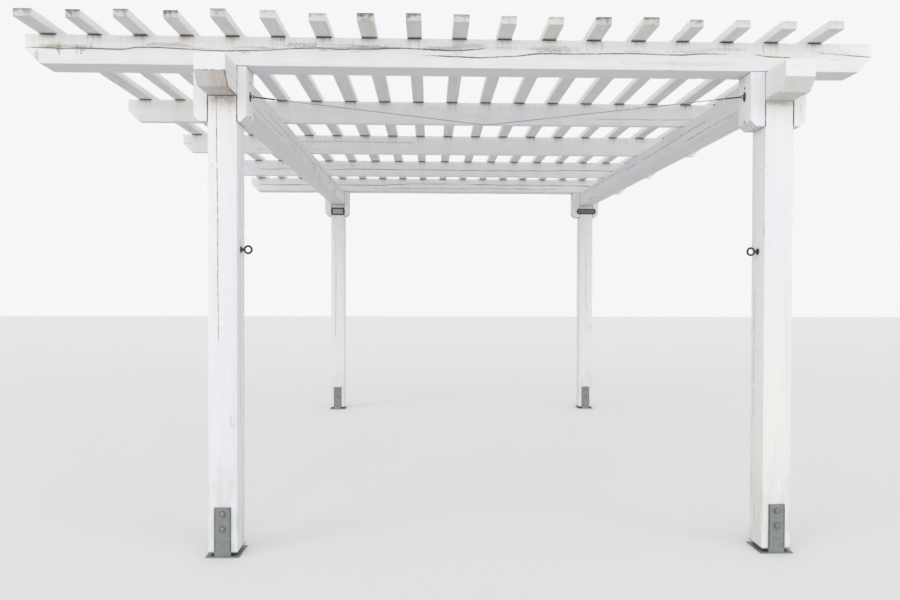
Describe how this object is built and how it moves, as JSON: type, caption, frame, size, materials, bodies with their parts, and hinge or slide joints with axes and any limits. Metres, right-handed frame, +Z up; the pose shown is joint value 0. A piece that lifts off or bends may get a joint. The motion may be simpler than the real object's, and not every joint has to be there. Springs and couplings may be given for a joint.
{
  "type": "pergola",
  "caption": "Free-standing white timber pergola: square posts on metal bases, long beams, cross beams with cut ends, and flat slats laid over the top.",
  "frame": {"origin": "on the floor, under the middle of the roof's outline", "axes": "+Z up, +Y from the front to the rear, +X from the left to the right seen from the front"},
  "size_m": [4.06, 4.936, 2.526],
  "materials": {
    "white_painted_timber": "satin paint, weathered",
    "galvanised_steel": "dull galvanised"
  },
  "bodies": {
    "root": {"post_front_left": "white_painted_timber", "base_front_left": "galvanised_steel", "cleat_front_left_outer": "white_painted_timber", "cleat_front_left_inner": "white_painted_timber", "post_rear_left": "white_painted_timber", "base_rear_left": "galvanised_steel", "cleat_rear_left_outer": "white_painted_timber", "cleat_rear_left_inner": "white_painted_timber", "beam_left": "white_painted_timber", "eye_left": "galvanised_steel", "post_front_right": "white_painted_timber", "base_front_right": "galvanised_steel", "cleat_front_right_outer": "white_painted_timber", "cleat_front_right_inner": "white_painted_timber", "post_rear_right": "white_painted_timber", "base_rear_right": "galvanised_steel", "cleat_rear_right_outer": "white_painted_timber", "cleat_rear_right_inner": "white_painted_timber", "beam_right": "white_painted_timber", "eye_right": "galvanised_steel", "cross_beam_1": "white_painted_timber", "cross_beam_2": "white_painted_timber", "cross_beam_3": "white_painted_timber", "cross_beam_4": "white_painted_timber", "cross_beam_5": "white_painted_timber", "slat_01": "white_painted_timber", "slat_02": "white_painted_timber", "slat_03": "white_painted_timber", "slat_04": "white_painted_timber", "slat_05": "white_painted_timber", "slat_06": "white_painted_timber", "slat_07": "white_painted_timber", "slat_08": "white_painted_timber", "slat_09": "white_painted_timber", "slat_10": "white_painted_timber", "slat_11": "white_painted_timber", "slat_12": "white_painted_timber", "slat_13": "white_painted_timber", "slat_14": "white_painted_timber", "slat_15": "white_painted_timber", "slat_16": "white_painted_timber", "slat_17": "white_painted_timber", "slat_18": "white_painted_timber", "wire_eyes": "galvanised_steel", "hanging_wire": "galvanised_steel"}
  },
  "joints": []
}
